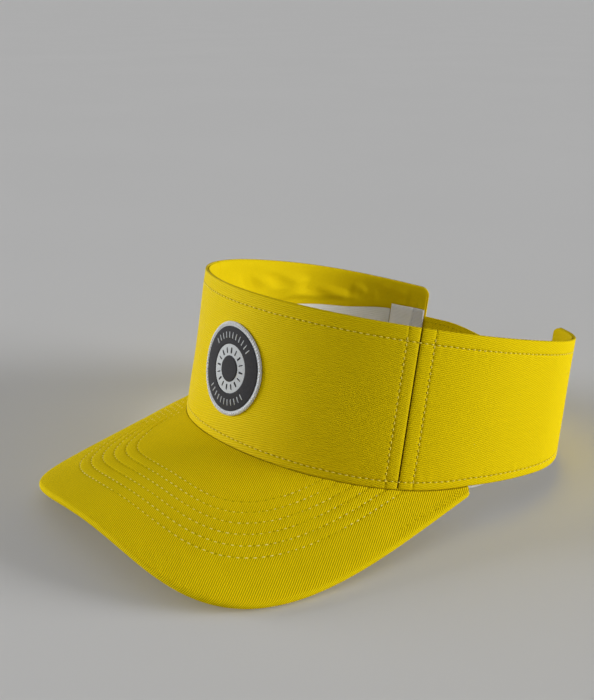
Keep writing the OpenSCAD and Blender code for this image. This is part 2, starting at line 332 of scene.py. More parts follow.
def pillow_arrays(outer, inner, *layers):
    """Points, faces and layers of a closed shell from two grids of points that share their border."""
    n, m = outer.shape[:2]
    front = np.arange(n * m).reshape(n, m)
    back = front.copy()
    inside = (slice(1, n - 1), slice(1, m - 1))
    back[inside] = n * m + np.arange((n - 2) * (m - 2)).reshape(n - 2, m - 2)

    def joined(whole, part):
        size = whole.shape[-1]
        return np.concatenate([whole.reshape(-1, size), part[inside].reshape(-1, size)])

    faces = np.concatenate([grid_faces(front), grid_faces(back, flip=True)])
    return joined(outer, inner), faces, *(None if grid is None else joined(grid, grid) for grid in layers)


def pillow(name, *grids):
    return make(name, *pillow_arrays(*grids))


# Distances of the grid lines from a rolled edge, and from a row of stitches
ROUND = np.array([0, 0.07, 0.18, 0.34, 0.56, 0.9])
NEAR = np.array([-1.3, -0.85, -0.5, -0.25, 0, 0.25, 0.5, 0.85, 1.3])
NEAR_END = 1.5


def spread(length, step, lines=()):
    """Places from 0 to length, closer together at both ends and beside each line of stitches."""
    count = max(3, int(length / (step * COARSE)))
    places = list(np.linspace(ROUND[-1], length - ROUND[-1], count))
    for line in lines:
        places = [p for p in places if abs(p - line) > NEAR_END] + list(line + NEAR)
    return np.unique(np.round(np.concatenate([ROUND, length - ROUND, places]), 4))


def columns_between(start, end, step, lines=()):
    """The length between two angles, and the places and angles of the columns along it."""
    length = abs(arc(end) - arc(start))
    s = spread(length, step, lines)
    return length, s[:, None], angle_of(arc(start) + np.sign(end - start) * s)


def upright(low, high, step, below, above):
    """Heights of each column: rows at set distances from the bottom and the top, the rest between."""

    def side(line):
        return np.concatenate([ROUND, line + NEAR]) if line else ROUND

    lower = low[:, None] + side(below)[None, :]
    upper = high[:, None] - side(above)[::-1][None, :]
    count = max(3, int(np.max(high - low) / (step * COARSE)))
    t = np.linspace(0, 1, count + 2)[1:-1]
    middle = lower[:, -1:] * (1 - t) + upper[:, :1] * t
    return np.concatenate([lower, middle, upper], 1)


def corner_cut(a, e):
    """How far the rounded corner at the end e takes the edge in at angle a."""
    s = np.abs(a - e) / turn(e, END_R)
    return np.where(s >= 1, 0, END_R * (1 - np.sqrt(np.maximum(0, 1 - (1 - s) ** 2))))


def rolled(distance, radius):
    """Share of the full thickness this far from a rounded edge."""
    return np.sqrt(1 - (1 - np.clip(distance / radius, 0, 1)) ** 2)


def rolled_all_round(s, length, z, radius):
    """The same for a grid with four rounded edges."""
    ends = rolled(s, radius) * rolled(length - s, radius)
    return ends * rolled(z - z[:, :1], radius) * rolled(z[:, -1:] - z, radius)


def band_piece(name, start, end, outer, inner, low, high, step=0.8, columns=(), below=0, above=0,
               relief=None, shift=None, back_relief=None, rows=None):
    """A closed shell round the band between two angles, with rolled edges.

    outer and inner are the depths of its faces, and low(a, d) and high(a) its edges. shift(a, z)
    moves it in, relief and back_relief, of (a, z, s, length), are how far its faces stand out,
    and rows, of the same, gives its rows of stitches."""
    length, s, a = columns_between(start, end, step, columns)
    bottom, top = low(a, outer), high(a)
    z = upright(bottom, top, step, below, above)
    drop = (low(a, inner) - bottom)[:, None]
    z_in = z + drop * smooth((top[:, None] - z) / (top - bottom)[:, None])
    grid = (a[:, None] + 0 * z, z, s + 0 * z, length)
    half = (inner - outer) / 2
    roll = rolled_all_round(grid[2], length, z, half)
    middle = (outer + inner) / 2 + (shift(*grid[:2]) if shift else 0)
    face = middle - half * roll - (relief(*grid) if relief else 0)
    hollow = back_relief(*grid) if back_relief else 0
    back = np.maximum(middle + half * roll + hollow, face + 0.1 * half)
    uv = np.stack([arc(grid[0]), z], -1)
    sew = nearest_row(rows(*grid)) if rows else None
    # the edge layer places the painted shade of the seams and edges
    edge = seam_distance(*grid[:2]) if rows else None
    return pillow(name, at(grid[0], face, z), at(grid[0], back, z_in), uv, sew, edge)


def seam_distance(a, z):
    """Distance from the seams beside the front panel and from the top and bottom edges, where shade is
    painted.
    """
    seam = np.abs(np.abs(arc(a)) - arc(SEAM_AT))
    return np.stack([seam, np.minimum(top_z(a) - z, z - edge_z(a))], -1)


def nearest_row(rows):
    """From (along, distance) of several rows of stitches, that of the nearest one."""
    along = np.stack([row[0] + 0 * row[1] for row in rows])
    distance = np.abs(np.stack([row[1] for row in rows]))
    nearest = np.argmin(distance, axis=0)[None]
    pick = [np.take_along_axis(array, nearest, 0)[0] for array in (along, distance)]
    return np.stack(pick, -1)


# ---- Stitches ----


def stitch_mesh(name, runs, pitch, width=THREAD_W, seed=1):
    """Separate stitches along runs of (points, normals, lengths along the row)."""
    random = np.random.RandomState(seed)
    sections, around = 7, 6
    t = np.linspace(STITCH_FROM, STITCH_TO, sections)
    arch = np.sin(np.pi * np.linspace(0, 1, sections))
    lift = (-0.34 + 0.42 * arch**0.6)[None, :, None]
    thick = (width / 2 * (0.35 + 0.65 * arch**0.5))[None, :, None, None]
    ring = np.arange(around) / around * 2 * np.pi
    along, wide = np.meshgrid(t * pitch, ring * width / 2, indexing="ij")
    uv = np.stack([along, wide], -1).reshape(-1, 2)
    blocks, uvs = [], []
    for points, normals, s in runs:
        starts = np.arange(np.ceil(s[0] / pitch), np.floor(s[-1] / pitch)) * pitch
        count = len(starts)
        where = starts[:, None] + t * pitch + random.uniform(-0.07, 0.07, (count, 1))
        centre, normal = (np.stack([np.interp(where, s, array[:, i]) for i in range(3)], -1)
                          for array in (points, normals))
        normal /= np.linalg.norm(normal, axis=-1, keepdims=True)
        side = np.cross(normal, np.gradient(centre, axis=1))
        side /= np.linalg.norm(side, axis=-1, keepdims=True)
        slant = random.uniform(-0.07, 0.07, (count, 1, 1)) + 0.09 * (t - 0.5)[None, :, None]
        centre = centre + side * slant + normal * lift
        tall = normal[:, :, None] * (np.sin(ring)[None, None, :, None] * thick * 0.8)
        loops = centre[:, :, None] + tall + side[:, :, None] * (np.cos(ring)[None, None, :, None] * thick)
        blocks.append(loops.reshape(-1, 3))
        uvs.append(np.tile(uv, (count, 1)))
    points = np.concatenate(blocks)
    size = sections * around
    index = np.arange(size).reshape(sections, around)
    first, last = ([[row[0], row[1], row[2], row[3]], [row[0], row[3], row[4], row[5]]]
                   for row in (index[0], index[-1]))
    tube = grid_faces(np.concatenate([index, index[:, :1]], 1))
    one = np.concatenate([tube, first, np.array(last)[:, ::-1]])
    faces = (one[None] + (np.arange(len(points) // size) * size)[:, None, None]).reshape(-1, 4)
    return make(name, points, faces, np.concatenate(uvs))


def with_normals(along, a, z, depth):
    """A run of stitches on the band, at angles a and heights z."""
    points = at(a, depth, z)
    across = at(a + 0.05, depth, z) - at(a - 0.05, depth, z)
    up = at(a, depth, z + 0.1) - at(a, depth, z - 0.1)
    normals = np.cross(across, up)
    return points, normals / np.linalg.norm(normals, axis=-1, keepdims=True), along


RUN_STEP = 0.35


def level_run(start, end, height, depth):
    """A run between two angles, at height(a) and depth(a)."""
    count = int(abs(arc(end) - arc(start)) / RUN_STEP)
    a = angle_of(np.linspace(arc(start), arc(end), count))
    return with_normals(arc(a), a, height(a), depth(a))


def upright_run(a, low, high, depth):
    z = np.linspace(low, high, int((high - low) / RUN_STEP))
    return with_normals(z, a + 0 * z, z, depth)


def needle_row(distance, along, pitch, deep=0.17, hole=0.10):
    """How far a row of stitches pulls the cloth in, with a deeper dimple at each needle hole."""
    dimple = (0.5 + 0.5 * np.cos(2 * np.pi * (along / pitch - HOLE_AT))) ** 2
    return -deep * bump_at(distance, 0.62) - hole * dimple * bump_at(distance, 0.42)


# ---- Materials ----


class Nodes:
    """Builds a node tree. A value that a method takes is a number, a colour or another node's output."""

    def __init__(self, tree):
        self.tree = tree

    def put(self, node, inputs):
        for key, value in inputs.items():
            if isinstance(value, bpy.types.NodeSocket):
                self.tree.links.new(value, node.inputs[key])
            else:
                node.inputs[key].default_value = value

    def node(self, kind, inputs, output=0, **settings):
        """Adds a node and returns one of its outputs."""
        node = self.tree.nodes.new("ShaderNode" + kind)
        for key, value in settings.items():
            setattr(node, key, value)
        self.put(node, inputs)
        return node.outputs[output]

    def math(self, operation, a, b=0.0, c=0.0):
        return self.node("Math", {0: a, 1: b, 2: c}, operation=operation)

    def mul(self, a, b):
        return self.math("MULTIPLY", a, b)

    def madd(self, a, b, c):
        return self.math("MULTIPLY_ADD", a, b, c)

    def uv(self, layer="cloth"):
        return self.node("UVMap", {}, uv_map=layer)

    def position(self):
        return self.node("TexCoord", {}, "Object")

    def part(self, vector, axis):
        return self.node("SeparateXYZ", {0: vector}, axis)

    def phase(self, vector, angle, pitch):
        """How many pitches the place is along a direction in the cloth, which is in millimetres."""
        angle = np.radians(angle)
        along = (np.cos(angle) / pitch, np.sin(angle) / pitch, 0)
        return self.node("VectorMath", {0: vector, 1: along}, "Value", operation="DOT_PRODUCT")

    def noise(self, vector, scale, detail=2.0, rough=0.5):
        inputs = {"Vector": vector, "Scale": scale, "Detail": detail, "Roughness": rough}
        return self.node("TexNoise", inputs, "Fac")

    def arch(self, phase):
        """A rounded rib for each whole number of the phase."""
        t = self.madd(self.math("FRACT", phase), 2.0, -1.0)
        return self.math("SUBTRACT", 1.0, self.mul(t, t))

    def wave(self, phase):
        return self.madd(self.math("SINE", self.mul(phase, 2 * np.pi)), 0.5, 0.5)

    def mix(self, factor, dark, light, blend="MIX"):
        return self.node("Mix", {"Factor": factor, 6: dark, 7: light}, 2, data_type="RGBA", blend_type=blend)

    def cloth_colour(self, factor, colour, darker, lighter):
        """The colour with its shades, from 1 - darker to 1 + lighter of it."""
        return self.mix(factor, shade(colour, 1 - darker), shade(colour, 1 + lighter))

    def ramp(self, value, low, high):
        return self.node("MapRange", {0: value, 1: low, 2: high}, interpolation_type="SMOOTHSTEP")

    def bump(self, height, distance):
        """Bump of a height of 0 to 1, of this many millimetres."""
        return self.node("Bump", {"Strength": 1.0, "Distance": distance / 1000, "Height": height})


class Material(Nodes):
    """Builds one material's node tree."""

    def __init__(self, name, rough, specular, sheen=0.0):
        self.material = bpy.data.materials.new(name)
        self.material.use_nodes = True
        super().__init__(self.material.node_tree)
        self.shader = self.tree.nodes["Principled BSDF"]
        self.put(self.shader, {"Roughness": rough, "Specular IOR Level": specular,
                               "Sheen Weight": sheen, "Sheen Roughness": 0.5})

    def finish(self, colour, normal, **inputs):
        self.put(self.shader, {"Base Color": colour, "Normal": normal, **inputs})
        return self.material


def shade(colour, k):
    return (colour[0] * k, colour[1] * k, colour[2] * k, 1)


YELLOW = (0.80, 0.60, 0.002)
# a darker copy of the band's yellow for the linings: painted shade inside the band
INNER_SHADED_YELLOW = (0.73, 0.54, 0.002)
# a darker copy of the band's yellow for the brim's cloth: painted shade
BRIM_SHADED_YELLOW = (0.755, 0.566, 0.002)
THREAD = (0.93, 0.77, 0.09)
PALE_THREAD = (0.97, 0.85, 0.22)
TAPE_PALE = (0.93, 0.93, 0.95)
TAPE_GREY = (0.76, 0.76, 0.79)
# colour of the painted shade in the seams and along the edges
SEAM_SHADE_BROWN = (0.25, 0.17, 0.002, 1)
GOLDEN_GLOSS = (1, 0.85, 0.3, 1)


HOLE_LONG = 0.55
HOLE_WIDE = 0.34
CREASE_SHARE = 0.12


def needle_marks(n, pitch):
    """How deep in a row's crease or needle hole a place is, 0 to 1; twill() also paints shade there with it.
    """
    sew = n.uv("sew")
    sideways = n.part(sew, 1)
    turned = n.math("FRACT", n.madd(n.part(sew, 0), 1 / pitch, 0.5 - HOLE_AT))
    along = n.mul(n.math("SUBTRACT", turned, 0.5), pitch / HOLE_LONG)
    across = n.mul(sideways, 1 / HOLE_WIDE)
    squares = n.math("ADD", n.mul(along, along), n.mul(across, across))
    hole = n.ramp(squares, 1.5, 0.3)
    crease = n.ramp(n.math("ABSOLUTE", sideways), 0.7, 0.1)
    return n.math("MAXIMUM", hole, n.mul(crease, CREASE_SHARE))


def seam_shade(n):
    """Painted shade in the crease of the seams and the brim's root and, fainter, along the edges, 0 to 1,
    from the edge layer.
    """
    gaps = n.uv("edge")
    seam, edge = n.ramp(n.part(gaps, 0), 0.6, 0.1), n.ramp(n.part(gaps, 1), 0.7, 0.0)
    return n.math("MAXIMUM", seam, n.mul(edge, 0.45))


def twill(name, colour, direction, pitch, depth, contrast, stitch_pitch, rough=0.85, specular=0.04):
    """Diagonal ribs of short floats with slubs; painted shade in the rib valleys, the seams and the rows'
    needle holes.
    """
    n = Material(name, rough=rough, specular=specular)
    n.shader.inputs["Specular Tint"].default_value = GOLDEN_GLOSS
    cloth = n.uv()
    across = n.phase(cloth, direction + 90, pitch)
    wobble = n.madd(n.noise(cloth, 0.3), 0.4, -0.2)
    across = n.math("ADD", across, wobble)
    rib = n.arch(across)
    stagger = n.mul(n.math("FLOOR", across), 0.37)
    along = n.math("ADD", n.phase(cloth, direction, pitch * 1.45), stagger)
    float_end = n.math("POWER", n.arch(along), 0.5)
    height = n.mul(rib, n.madd(float_end, 0.18, 0.82))
    slub = n.noise(cloth, 1.1, 3.0, 0.6)
    broad = n.noise(cloth, 0.03)
    fac = n.madd(slub, 0.25, n.mul(height, 0.85))
    fac = n.madd(broad, 0.16, n.math("SUBTRACT", fac, 0.12))
    # painted shade and light: darker in the rib valleys, lighter on the rib tops; the slubs and broad noise
    # are the yarn's own tone
    colour = n.cloth_colour(fac, colour, contrast, contrast * 0.5)
    holes, seams = needle_marks(n, stitch_pitch), seam_shade(n)
    # painted shade in the needle holes and the rows' creases
    colour = n.mix(holes, colour, shade(YELLOW, 0.66))
    # painted shade: the seams and edges darkened towards a dark brown
    colour = n.mix(seams, colour, SEAM_SHADE_BROWN)
    marks = n.math("MAXIMUM", holes, seams)
    return n.finish(colour, n.bump(n.math("SUBTRACT", height, marks), depth))


def plain_weave(name, colour, pitch, depth, contrast):
    """Over-and-under weave of two sets of yarns."""
    n = Material(name, rough=0.8, specular=0.04)
    cloth = n.uv()
    u, v = n.wave(n.phase(cloth, 0, pitch)), n.wave(n.phase(cloth, 90, pitch))
    over = n.mul(u, v)
    under = n.mul(n.math("SUBTRACT", 1.0, u), n.math("SUBTRACT", 1.0, v))
    height = n.math("POWER", n.math("ADD", over, under), 0.7)
    slub = n.noise(cloth, 0.8, 3.0)
    broad = n.noise(cloth, 0.05)
    fac = n.madd(slub, 0.4, n.madd(height, 0.4, n.mul(broad, 0.3)))
    return n.finish(n.cloth_colour(fac, colour, contrast, contrast * 0.4), n.bump(height, depth))


def brushed(name, colour, fuzz, contrast):
    """Brushed knit: a soft nap over fine courses."""
    n = Material(name, rough=0.95, specular=0.1, sheen=0.3)
    cloth = n.uv()
    nap = n.noise(cloth, fuzz, 5.0, 0.65)
    course = n.wave(n.phase(cloth, 90, 1.1))
    height = n.madd(course, 0.25, nap)
    broad = n.noise(cloth, 0.12)
    fac = n.madd(broad, 0.4, n.mul(height, 0.6))
    return n.finish(n.cloth_colour(fac, colour, contrast, 0), n.bump(height, 0.35))


def thread_stuff(name, colour):
    """Twisted two-ply thread: slanted plies with a satin gloss."""
    n = Material(name, rough=0.45, specular=0.35, sheen=0.1)
    cloth = n.uv()
    ply = n.arch(n.phase(cloth, 38, 0.42))
    return n.finish(n.cloth_colour(ply, colour, 0.28, 0.05), n.bump(ply, 0.08))


def ribbed_tape(name, colour, edge_colour, edge_from, edge_to):
    """Woven tape with fine cross ribs. Its strip between two lengths round the band is darker."""
    n = Material(name, rough=0.8, specular=0.2, sheen=0.1)
    cloth = n.uv()
    ribs = n.arch(n.phase(cloth, 90, 0.8))
    fine = n.wave(n.phase(cloth, 0, 0.5))
    height = n.madd(fine, 0.3, ribs)
    dark = n.ramp(n.part(cloth, 0), edge_from, edge_to)
    dirt = n.noise(cloth, 0.25, 3.0)
    base = n.mix(dark, shade(colour, 1), shade(edge_colour, 1))
    fac = n.madd(dirt, 0.35, n.mul(height, 0.35))
    shaded = n.mix(fac, shade((0.75, 0.75, 0.75), 1), (1, 1, 1, 1))
    return n.finish(n.mix(1.0, base, shaded, "MULTIPLY"), n.bump(height, 0.15))


def satin(name, colour, direction, pitch, contrast, gloss=0.42):
    """Rows of parallel embroidery threads."""
    n = Material(name, rough=gloss, specular=0.2)
    cloth = n.uv()
    across = n.phase(cloth, direction + 90, pitch)
    wobble = n.madd(n.noise(cloth, 0.7), 0.9, -0.45)
    strand = n.arch(n.math("ADD", across, wobble))
    streak = n.noise(cloth, 1.3, 3.0)
    fac = n.madd(streak, 0.5, n.mul(strand, 0.5))
    return n.finish(n.cloth_colour(fac, colour, contrast, contrast * 0.5), n.bump(strand, 0.12))


def looped(name, colour, scale, depth, rough):
    """Pile of small loops or hooks."""
    n = Material(name, rough=rough, specular=0.3, sheen=0.1)
    cloth = n.uv()
    cells = n.node("TexVoronoi", {"Vector": cloth, "Scale": scale}, "Distance", feature="F1")
    tuft = n.math("SUBTRACT", 1.0, cells)
    fac = n.madd(n.noise(cloth, scale * 2), 0.4, n.mul(tuft, 0.6))
    return n.finish(n.cloth_colour(fac, colour, 0.5, 0.1), n.bump(tuft, depth))


def moulded(name, colour):
    """Faintly pebbled sheet plastic."""
    n = Material(name, rough=0.5, specular=0.4)
    spot = n.position()
    grain = n.noise(spot, 900)
    colour = n.cloth_colour(n.noise(spot, 60), colour, 0.08, 0)
    return n.finish(colour, n.bump(grain, 0.05), Roughness=n.madd(grain, 0.2, 0.4))


FRONT_TWILL = twill("front_twill", YELLOW, 25, 0.80, 0.22, 0.12, BAND_PITCH, 0.5, 0.07)
SIDE_TWILL = twill("side_twill", YELLOW, 15, 0.875, 0.17, 0.24, BAND_PITCH)
BRIM_TWILL = twill("brim_twill", BRIM_SHADED_YELLOW, 60.5, 0.835, 0.22, 0.66, BRIM_PITCH)
LINING = plain_weave("lining_weave", INNER_SHADED_YELLOW, 0.5, 0.1, 0.22)
YELLOW_THREAD = thread_stuff("yellow_thread", THREAD)
BRIM_THREAD = thread_stuff("brim_thread", PALE_THREAD)
SWEAT = brushed("sweatband_nap", (0.80, 0.80, 0.79), 1.6, 0.2)
BUCKRAM = plain_weave("buckram_weave", (0.86, 0.85, 0.80), 1.4, 0.3, 0.35)
INTERFACING = plain_weave("interfacing_weave", (0.82, 0.80, 0.74), 0.6, 0.12, 0.25)
BADGE_PALE = satin("badge_pale_thread", (0.62, 0.65, 0.68), 0, 0.42, 0.28)
MERROW = satin("badge_border_thread", (0.76, 0.78, 0.81), 90, 0.6, 0.35)
BADGE_DARK = satin("badge_dark_thread", (0.050, 0.050, 0.056), 0, 0.45, 0.55, 0.8)
HOOKS = looped("hook_tape_pile", (0.62, 0.50, 0.06), 0.9, 0.3, 0.5)
LOOPS = looped("loop_tape_pile", (0.72, 0.58, 0.08), 1.4, 0.4, 0.9)
BOARD = moulded("brim_board_plastic", (0.85, 0.85, 0.83))


def finish_piece(obj, material, slot, *nodes, body="visor"):
    """Gives a piece its material and body, and hides the CAD nodes it stands in for. slot is not used."""
    obj.data.materials.append(material)
    if body:
        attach(obj, body)
    if nodes:
        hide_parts(*nodes)
    return obj


def sewn(name, runs, seed, *nodes, body="visor"):
    """Stitches of the band's yellow thread."""
    obj = stitch_mesh(name, runs, BAND_PITCH, seed=seed)
    finish_piece(obj, YELLOW_THREAD, "yellow_thread", *nodes, body=body)


def metres(*sizes):
    """Millimetres to metres."""
    return tuple(float(s) / 1000 for s in sizes)


def band_cloth(obj, material, slot, node, start, end, height, body="visor"):
    finish_piece(obj, material, slot, node, body=body)
    metres(abs(arc(end) - arc(start)), height)


# ---- Panels ----

SEAM_HALF = turn(SEAM_AT, GAP) / 2
FRONT_SPAN = (-SEAM_AT + SEAM_HALF, SEAM_AT - SEAM_HALF)
SIDE_FROM = SEAM_AT + SEAM_HALF
ANCHOR_AT = short_of(RIGHT_END, 8)


def tight_edges(a, z, s, length, seams):
    """Relief of a panel's face: sewn channels, puffed strips beside them, puckers and rolled seams."""
    below, above = z - edge_z(a), top_z(a) - z
    along = arc(a)
    ripple, pucker = waves(along, 0, 7, 11), waves(along, 0, 4.5, 12)
    stand = needle_row(below - BOTTOM_ROW, along, BAND_PITCH) + needle_row(above - TOP_ROW, along, BAND_PITCH)
    stand += (0.16 + 0.07 * ripple) * hump(below / BOTTOM_ROW, 1.5)
    stand += (0.04 + 0.04 * ripple) * hump(above / TOP_ROW, 1.5)
    stand += pucker * (0.09 * fading(below - BOTTOM_ROW, 4) + 0.07 * fading(above - TOP_ROW, 4))
    for from_start, row in seams:
        reach = s if from_start else length - s
        stand += needle_row(reach - row, z, BAND_PITCH) - 0.65 * np.exp(-reach / 0.5)
        stand += (0.05 + 0.04 * waves(z, 0, 8, 13)) * hump(reach / row, 1.3)
        stand += 0.08 * waves(z, 0, 6, 14) * fading(reach - row, 5)
    return stand


def sewn_rows(a, z, s, length, seams):
    """The panel's rows of stitches, for nearest_row()."""
    rows = [(arc(a), z - edge_z(a) - BOTTOM_ROW), (arc(a), top_z(a) - z - TOP_ROW)]
    return rows + [(z, (s if from_start else length - s) - row) for from_start, row in seams]


def panels():
    seams = [(True, SEAM_ROW_FRONT), (False, SEAM_ROW_FRONT)]
    length = abs(arc(SEAM_AT) - arc(-SEAM_AT)) - GAP
    front = band_piece(
        "front_panel_twill", *FRONT_SPAN, 0, PANEL_T, edge_z, top_z,
        columns=(SEAM_ROW_FRONT, length - SEAM_ROW_FRONT), below=BOTTOM_ROW, above=TOP_ROW,
        relief=lambda *grid: tight_edges(*grid, seams), rows=lambda *grid: sewn_rows(*grid, seams))
    band_cloth(front, FRONT_TWILL, "yellow_twill", "front_panel", -SEAM_AT, SEAM_AT, FRONT_CUT)
    for name, sign, end in SIDES:
        length = abs(arc(end * sign) - arc(SEAM_AT * sign))
        side = band_piece(
            name + "_panel_twill", sign * SIDE_FROM, sign * end, 0, PANEL_T,
            lambda a, d, e=sign * end: edge_z(a, d) + corner_cut(a, e),
            lambda a, e=sign * end: top_z(a) - corner_cut(a, e),
            columns=(SEAM_ROW_SIDE, length - END_ROW), below=BOTTOM_ROW, above=TOP_ROW,
            relief=lambda a, z, s, n: tight_edges(a, z, s, n, [(True, SEAM_ROW_SIDE)])
            + needle_row(n - s - END_ROW, z, BAND_PITCH),
            rows=lambda *grid: sewn_rows(*grid, [(True, SEAM_ROW_SIDE), (False, END_ROW)]))
        band_cloth(side, SIDE_TWILL, "yellow_twill", name + "_panel", sign * SEAM_AT, sign * end, SIDE_CUT)


def stiffeners():
    """The buckram behind the front panel and the interfacing behind the side panels."""
    hem = 2.2
    for name, start, end, material, slot, tall in (
        ("front_stiffener", *FRONT_SPAN, BUCKRAM, "buckram", BUCKRAM_CUT),
        ("left_interfacing", SIDE_FROM, LEFT_END - 3, INTERFACING, "interfacing", INTERFACING_CUT),
        ("right_interfacing", -SIDE_FROM, -ANCHOR_AT, INTERFACING, "interfacing", INTERFACING_CUT),
    ):
        piece = band_piece(
            name + "_cloth", start, end, STIFF_IN, STIFF_IN + STIFF_T,
            lambda a, d: edge_z(a, d) + hem, lambda a: top_z(a) - hem, step=2.5)
        band_cloth(piece, material, slot, name, start, end, tall)


def lining_folds(a, z):
    """Inward folds of a lining: broad waves low down and short upright puckers near its end."""
    along = arc(a)
    free = smooth((top_z(a) - z - 2) / 8) * smooth((z - edge_z(a) - sweat_top(a) - 0.5) / 5)
    broad = 1.5 * waves(along, z * 0.9, 36, 21) + 1.0 * waves(along, z * 1.5, 17, 22)
    near_end = smooth((np.abs(a) - 108) / 16)
    upright_folds = 0.8 * waves(along, z * 0.12, 8, 23) * near_end
    return free * np.maximum(0, 0.9 + broad + upright_folds)


def linings():
    def pull_up(a, z):
        """The lining's top edge is sewn to the panel's, so it leans out there."""
        return -0.72 * bump_at(top_z(a) - z, 2.0)

    def folds(a, z, s, length):
        return lining_folds(a, z) * smooth(s / 5) * smooth((length - s) / 5)

    for name, start, end, rounded, tall in (
        ("front", *FRONT_SPAN, None, FRONT_LINING_CUT),
        ("left", SIDE_FROM, short_of(LEFT_END, HEM), LEFT_END, SIDE_LINING_CUT),
        ("right", -SIDE_FROM, -short_of(RIGHT_END, HEM), -RIGHT_END, SIDE_LINING_CUT),
    ):
        def cut(a, e=rounded):
            return corner_cut(a, e) if e else 0 * a

        piece = band_piece(
            name + "_lining_cloth", start, end, LINING_IN, LINING_IN + LINING_T,
            lambda a, d, c=cut: edge_z(a, d) + HEM + c(a), lambda a, c=cut: top_z(a) - 0.4 - c(a),
            step=1.0, shift=pull_up, back_relief=folds)
        band_cloth(piece, LINING, "yellow_lining", name + "_lining", start, end, tall)


# ---- Sweatband and bindings ----


def simulate(obj, pins, pressure, cap, frames=16):
    """Puffs a mesh up with cloth simulation, enlarged, and moves no point further than cap."""
    enlarged = 10
    rest = np.array([v.co for v in obj.data.vertices], float)
    obj.data.transform(Matrix.Scale(enlarged, 4))
    group = obj.vertex_groups.new(name="pins")
    for weight in np.unique(np.round(pins, 1)):
        if weight > 0:
            chosen = np.nonzero(np.round(pins, 1) == weight)[0]
            group.add(chosen.tolist(), float(weight), "REPLACE")
    cloth = obj.modifiers.new("cloth", "CLOTH")
    for key, value in dict(
        quality=6, mass=0.2, tension_stiffness=12, compression_stiffness=6, shear_stiffness=4,
        bending_stiffness=0.6, vertex_group_mass="pins", use_pressure=True, uniform_pressure_force=pressure,
    ).items():
        setattr(cloth.settings, key, value)
    cloth.settings.effector_weights.gravity = 0
    cloth.point_cache.frame_start = 1
    cloth.point_cache.frame_end = frames
    for f in range(1, frames + 1):
        bpy.context.scene.frame_set(f)
    posed = obj.evaluated_get(bpy.context.evaluated_depsgraph_get())
    moved = np.empty(len(obj.data.vertices) * 3, np.float32)
    posed.data.vertices.foreach_get("co", moved)
    obj.modifiers.remove(cloth)
    bpy.context.scene.frame_set(1)
    step = moved.reshape(-1, 3).astype(float) / enlarged - rest
    far = np.linalg.norm(step, axis=1, keepdims=True)
    step = step * np.minimum(1, cap / np.maximum(far, 1e-9))
    obj.data.vertices.foreach_set("co", (rest + step).astype(np.float32).ravel())
    obj.data.update()


def subdivide(obj, levels):
    """Smooths a mesh by subdivision, with nothing left on the object."""
    modifier = obj.modifiers.new("fine", "SUBSURF")
    modifier.levels = levels
    posed = obj.evaluated_get(bpy.context.evaluated_depsgraph_get())
    mesh = bpy.data.meshes.new_from_object(posed)
    obj.modifiers.remove(modifier)
    obj.data = mesh


def sweat_top(a):
    """Height of the sweatband over the band's edge: it rises to meet the bindings."""
    return SWEAT_H + SWEAT_RISE * smooth((np.abs(a) - 113) / 24)


def sweatband():
    """A padded band: its cover is a closed tube, puffed by simulation between its sewn edges."""
    lap, column_step, rows = 1.4, 3.0, 15
    start = -short_of(RIGHT_END, BINDING_W - lap)
    end = short_of(LEFT_END, BINDING_W - lap)
    length = arc(end) - arc(start)
    a = angle_of(np.linspace(arc(start), arc(end), int(length / column_step)))
    # it hangs below the band's edge, and furthest where the brim ends
    low = SWEAT_LOW - 2.2 * bump_at(np.abs(a) - 68, 6)
    height = sweat_top(a) - low
    z = (edge_z(a) + low)[:, None] + np.linspace(0, 1, rows)[None, :] * height[:, None]
    aa = a[:, None] + 0 * z
    s = arc(aa) - arc(start)
    # thinner than the CAD solid, and the pressure puffs it up
    outer, inner = SWEAT_IN + 0.25, SWEAT_IN + SWEAT_T - 0.9
    edge_roll, end_roll = 3.0, 2.0
    reach = np.minimum(z - z[:, :1], z[:, -1:] - z)
    roll = rolled(reach, edge_roll) * rolled(s, end_roll) * rolled(length - s, end_roll)
    half, middle = (inner - outer) / 2, (outer + inner) / 2
    face, back = middle - half * roll, middle + half * roll
    obj = pillow("sweatband_pad", at(aa, face, z), at(aa, back, z), np.stack([s, z], -1))
    # the side against the lining stays where it is, and so, nearly, does the bottom edge
    back_pins = np.zeros((len(a) - 2, rows - 2))
    back_pins[:, :1] = 0.8
    simulate(obj, np.concatenate([np.ones(aa.size), back_pins.ravel()]), pressure=2.2, cap=0.0013)
    subdivide(obj, 2)
    finish_piece(obj, SWEAT, "white_sweatband", "sweatband_cover", "sweatband_padding")


def bindings():
    for name, sign, end in SIDES:
        start, stop = sign * short_of(end, BINDING_W - 0.6), sign * short_of(end, 0.8)
        fold = abs(arc(stop) - arc(start)) - 7.2

        def high(a, e=start):
            slope = 1.2 * smooth(np.abs(arc(a) - arc(e)) / BINDING_W)
            return edge_z(a) + BINDING_H + 0.7 + slope

        def back(a, z, s, n, fold=fold):
            """A groove along the fold, a lower strip beyond it, and the pull of the stitches."""
            pulls = 0.5 + 0.5 * np.cos(2 * np.pi * z / BAND_PITCH)
            stand = -0.55 * bump_at(s - fold, 0.7) - 0.5 * smooth((s - fold) / 1.5)
            return stand - 0.35 * pulls * bump_at(s - fold, 0.5) + 0.12 * waves(s, z, 14, 31)

        piece = band_piece(
            name + "_end_binding_tape", start, stop, SWEAT_IN, SWEAT_IN + SWEAT_T,
            lambda a, d, e=stop: edge_z(a) + HEM + corner_cut(a, e), high,
            step=0.9, columns=(fold,), back_relief=back)
        edge = float(arc(stop))
        tape = ribbed_tape(name + "_binding_tape", TAPE_PALE, TAPE_GREY, edge - sign * 7.8, edge - sign * 6.9)
        band_cloth(piece, tape, "grey_binding", name + "_end_binding", start, stop, BINDING_CUT)


# ---- Brim ----

